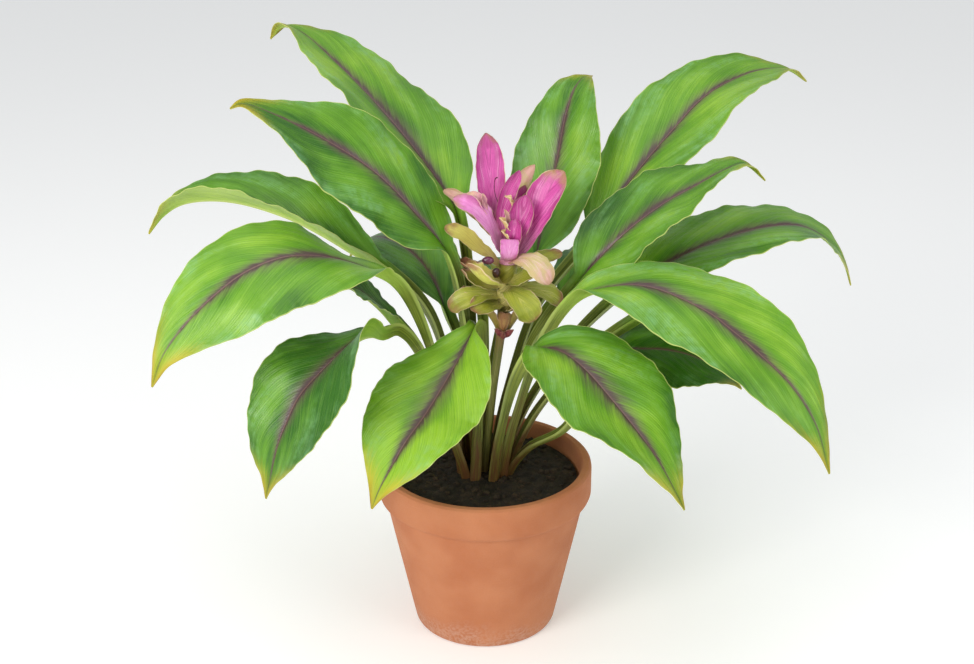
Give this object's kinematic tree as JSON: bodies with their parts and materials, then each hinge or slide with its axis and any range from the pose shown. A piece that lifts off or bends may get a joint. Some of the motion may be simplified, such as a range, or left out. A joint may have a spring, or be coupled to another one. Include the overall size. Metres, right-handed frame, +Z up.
{
  "type": "potted black turmeric plant",
  "caption": "Black turmeric plant with broad purple-ribbed leaves and a pink and yellow-green flower spike in a plain clay pot.",
  "frame": {"origin": "middle of the pot's flat underside", "axes": "+Z up, -Y towards the viewer of the picture, +X to their right"},
  "size_m": [0.7386, 0.4718, 0.6049],
  "materials": {
    "clay": "matt fired clay",
    "soil": "loose and dark",
    "leaf": "satin, with a purple-brown flame along the midrib",
    "stalk": "satin",
    "green_bract": "satin",
    "pink_bract": "satin",
    "bud": "satin"
  },
  "bodies": {
    "root": {"pot": "clay", "soil": "soil", "leaf_left_top": "leaf", "leaf_left_upper": "leaf", "leaf_left_arching": "leaf", "leaf_left_broad": "leaf", "leaf_left_low": "leaf", "leaf_front_left": "leaf", "leaf_front_right": "leaf", "leaf_right_broad": "leaf", "leaf_right_low": "leaf", "leaf_right_upper": "leaf", "leaf_right_arching": "leaf", "leaf_right_top": "leaf", "leaf_back_centre": "leaf", "leaf_right_hidden": "leaf", "leaf_left_hidden": "leaf", "leaf_back_left": "leaf", "leaf_back": "leaf", "leaf_back_right": "leaf", "flower_stalk": "stalk", "green_bracts": "green_bract", "pink_bracts": "pink_bract", "bud_front": "bud", "bud_left": "bud"}
  },
  "joints": []
}
